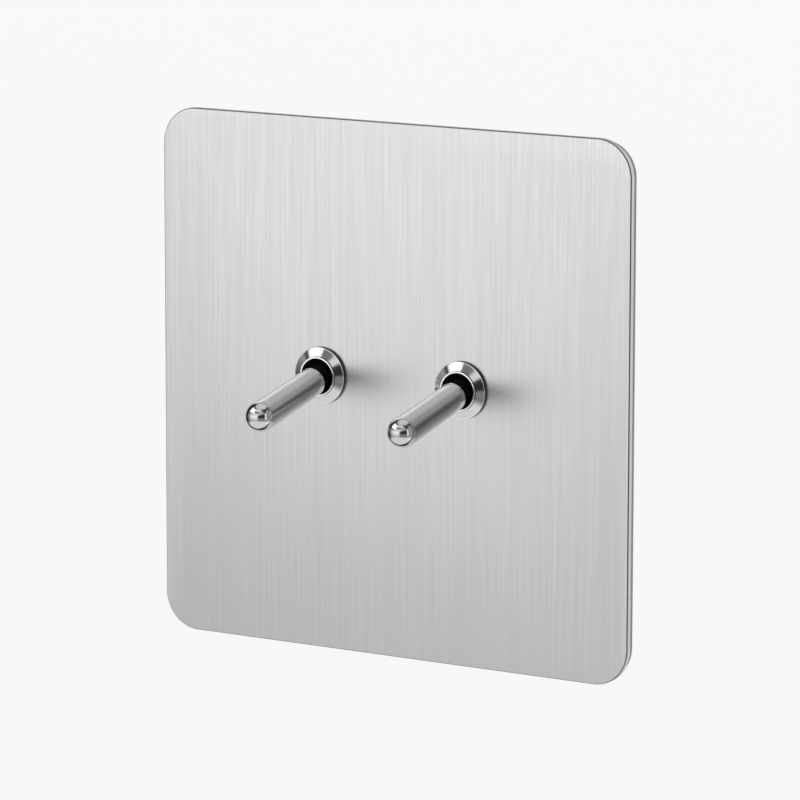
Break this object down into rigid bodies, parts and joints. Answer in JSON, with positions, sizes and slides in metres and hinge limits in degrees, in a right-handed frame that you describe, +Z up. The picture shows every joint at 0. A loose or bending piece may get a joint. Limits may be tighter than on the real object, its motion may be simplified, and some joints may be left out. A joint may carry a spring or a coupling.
{
  "type": "toggle wall switch",
  "caption": "Square brushed metal wall plate with toggle switches on threaded collars, complete with mounting plate, rocking contacts, terminals and screws.",
  "frame": {"origin": "centre of the plate on the wall plane, midway between the two wall-box fixing screws", "axes": "+Z up, -Y out of the wall towards the user, +X to the user's right"},
  "size_m": [0.086, 0.0435, 0.086],
  "materials": {
    "brushed_steel": "vertical brushed grain, satin",
    "polished_steel": "turned and lightly polished",
    "plated_steel": "satin zinc plating",
    "screw_steel": "bright zinc plating",
    "spring_steel": "drawn wire",
    "blackened_brass": "machined and blackened",
    "brass": "machined",
    "copper": "rolled copper alloy strip",
    "silver": "silver contact alloy",
    "black_nylon": "moulded, matt",
    "plunger_nylon": "moulded natural nylon",
    "black_phenolic": "moulded, fine satin"
  },
  "bodies": {
    "switch_body": {"front_plate": "brushed_steel", "mounting_plate": "plated_steel", "fixing_screw_left": "screw_steel", "fixing_screw_right": "screw_steel", "earth_terminal": "brass", "earth_terminal_screw": "screw_steel", "earth_fixing_screw": "screw_steel", "left_collar": "polished_steel", "left_bushing": "blackened_brass", "left_bearing_liner": "black_nylon", "left_pivot_pin": "screw_steel", "left_frame": "plated_steel", "left_frame_screw_lower": "screw_steel", "left_frame_screw_upper": "screw_steel", "left_frame_rivet_a": "screw_steel", "left_frame_rivet_b": "screw_steel", "left_housing": "black_phenolic", "left_common_terminal": "brass", "left_lower_terminal": "brass", "left_upper_terminal": "brass", "left_lower_terminal_screw": "screw_steel", "left_common_terminal_screw": "screw_steel", "left_upper_terminal_screw": "screw_steel", "left_lower_fixed_contact": "silver", "left_upper_fixed_contact": "silver", "right_collar": "polished_steel", "right_bushing": "blackened_brass", "right_bearing_liner": "black_nylon", "right_pivot_pin": "screw_steel", "right_frame": "plated_steel", "right_frame_screw_lower": "screw_steel", "right_frame_screw_upper": "screw_steel", "right_frame_rivet_a": "screw_steel", "right_frame_rivet_b": "screw_steel", "right_housing": "black_phenolic", "right_common_terminal": "brass", "right_lower_terminal": "brass", "right_upper_terminal": "brass", "right_lower_terminal_screw": "screw_steel", "right_common_terminal_screw": "screw_steel", "right_upper_terminal_screw": "screw_steel", "right_lower_fixed_contact": "silver", "right_upper_fixed_contact": "silver"},
    "left_lever": {"left_lever": "polished_steel", "left_lever_core": "black_nylon", "left_plunger_spring": "spring_steel"},
    "left_plunger": {"left_plunger": "plunger_nylon"},
    "left_rocker": {"left_rocking_contact": "copper", "left_lower_moving_contact": "silver", "left_upper_moving_contact": "silver"},
    "right_lever": {"right_lever": "polished_steel", "right_lever_core": "black_nylon", "right_plunger_spring": "spring_steel"},
    "right_plunger": {"right_plunger": "plunger_nylon"},
    "right_rocker": {"right_rocking_contact": "copper", "right_lower_moving_contact": "silver", "right_upper_moving_contact": "silver"}
  },
  "joints": [
    {"name": "left_lever_tilt", "type": "hinge", "parent": "switch_body", "child": "left_lever", "pos_m": [-0.013, -0.0025, 0.0015], "axis": [-1, 0, 0], "range_deg": [0, 24]},
    {"name": "left_plunger_slide", "type": "slide", "parent": "left_lever", "child": "left_plunger", "axis": [0, -0.9781, -0.2079], "range_m": [0, 0.0008], "stiffness_N_per_m": 200, "deforming": ["left_plunger_spring"]},
    {"name": "left_contact_rock", "type": "hinge", "parent": "switch_body", "child": "left_rocker", "pos_m": [-0.013, 0.00756, 0.0015], "axis": [1, 0, 0], "range_deg": [0, 14]},
    {"name": "right_lever_tilt", "type": "hinge", "parent": "switch_body", "child": "right_lever", "pos_m": [0.013, -0.0025, 0.0015], "axis": [-1, 0, 0], "range_deg": [0, 24]},
    {"name": "right_plunger_slide", "type": "slide", "parent": "right_lever", "child": "right_plunger", "axis": [0, -0.9781, -0.2079], "range_m": [0, 0.0008], "stiffness_N_per_m": 200, "deforming": ["right_plunger_spring"]},
    {"name": "right_contact_rock", "type": "hinge", "parent": "switch_body", "child": "right_rocker", "pos_m": [0.013, 0.00756, 0.0015], "axis": [1, 0, 0], "range_deg": [0, 14]}
  ],
  "couplings": [
    {"joint": "left_contact_rock", "follows": "left_lever_tilt", "ratio": 0.5833},
    {"joint": "right_contact_rock", "follows": "right_lever_tilt", "ratio": 0.5833}
  ]
}
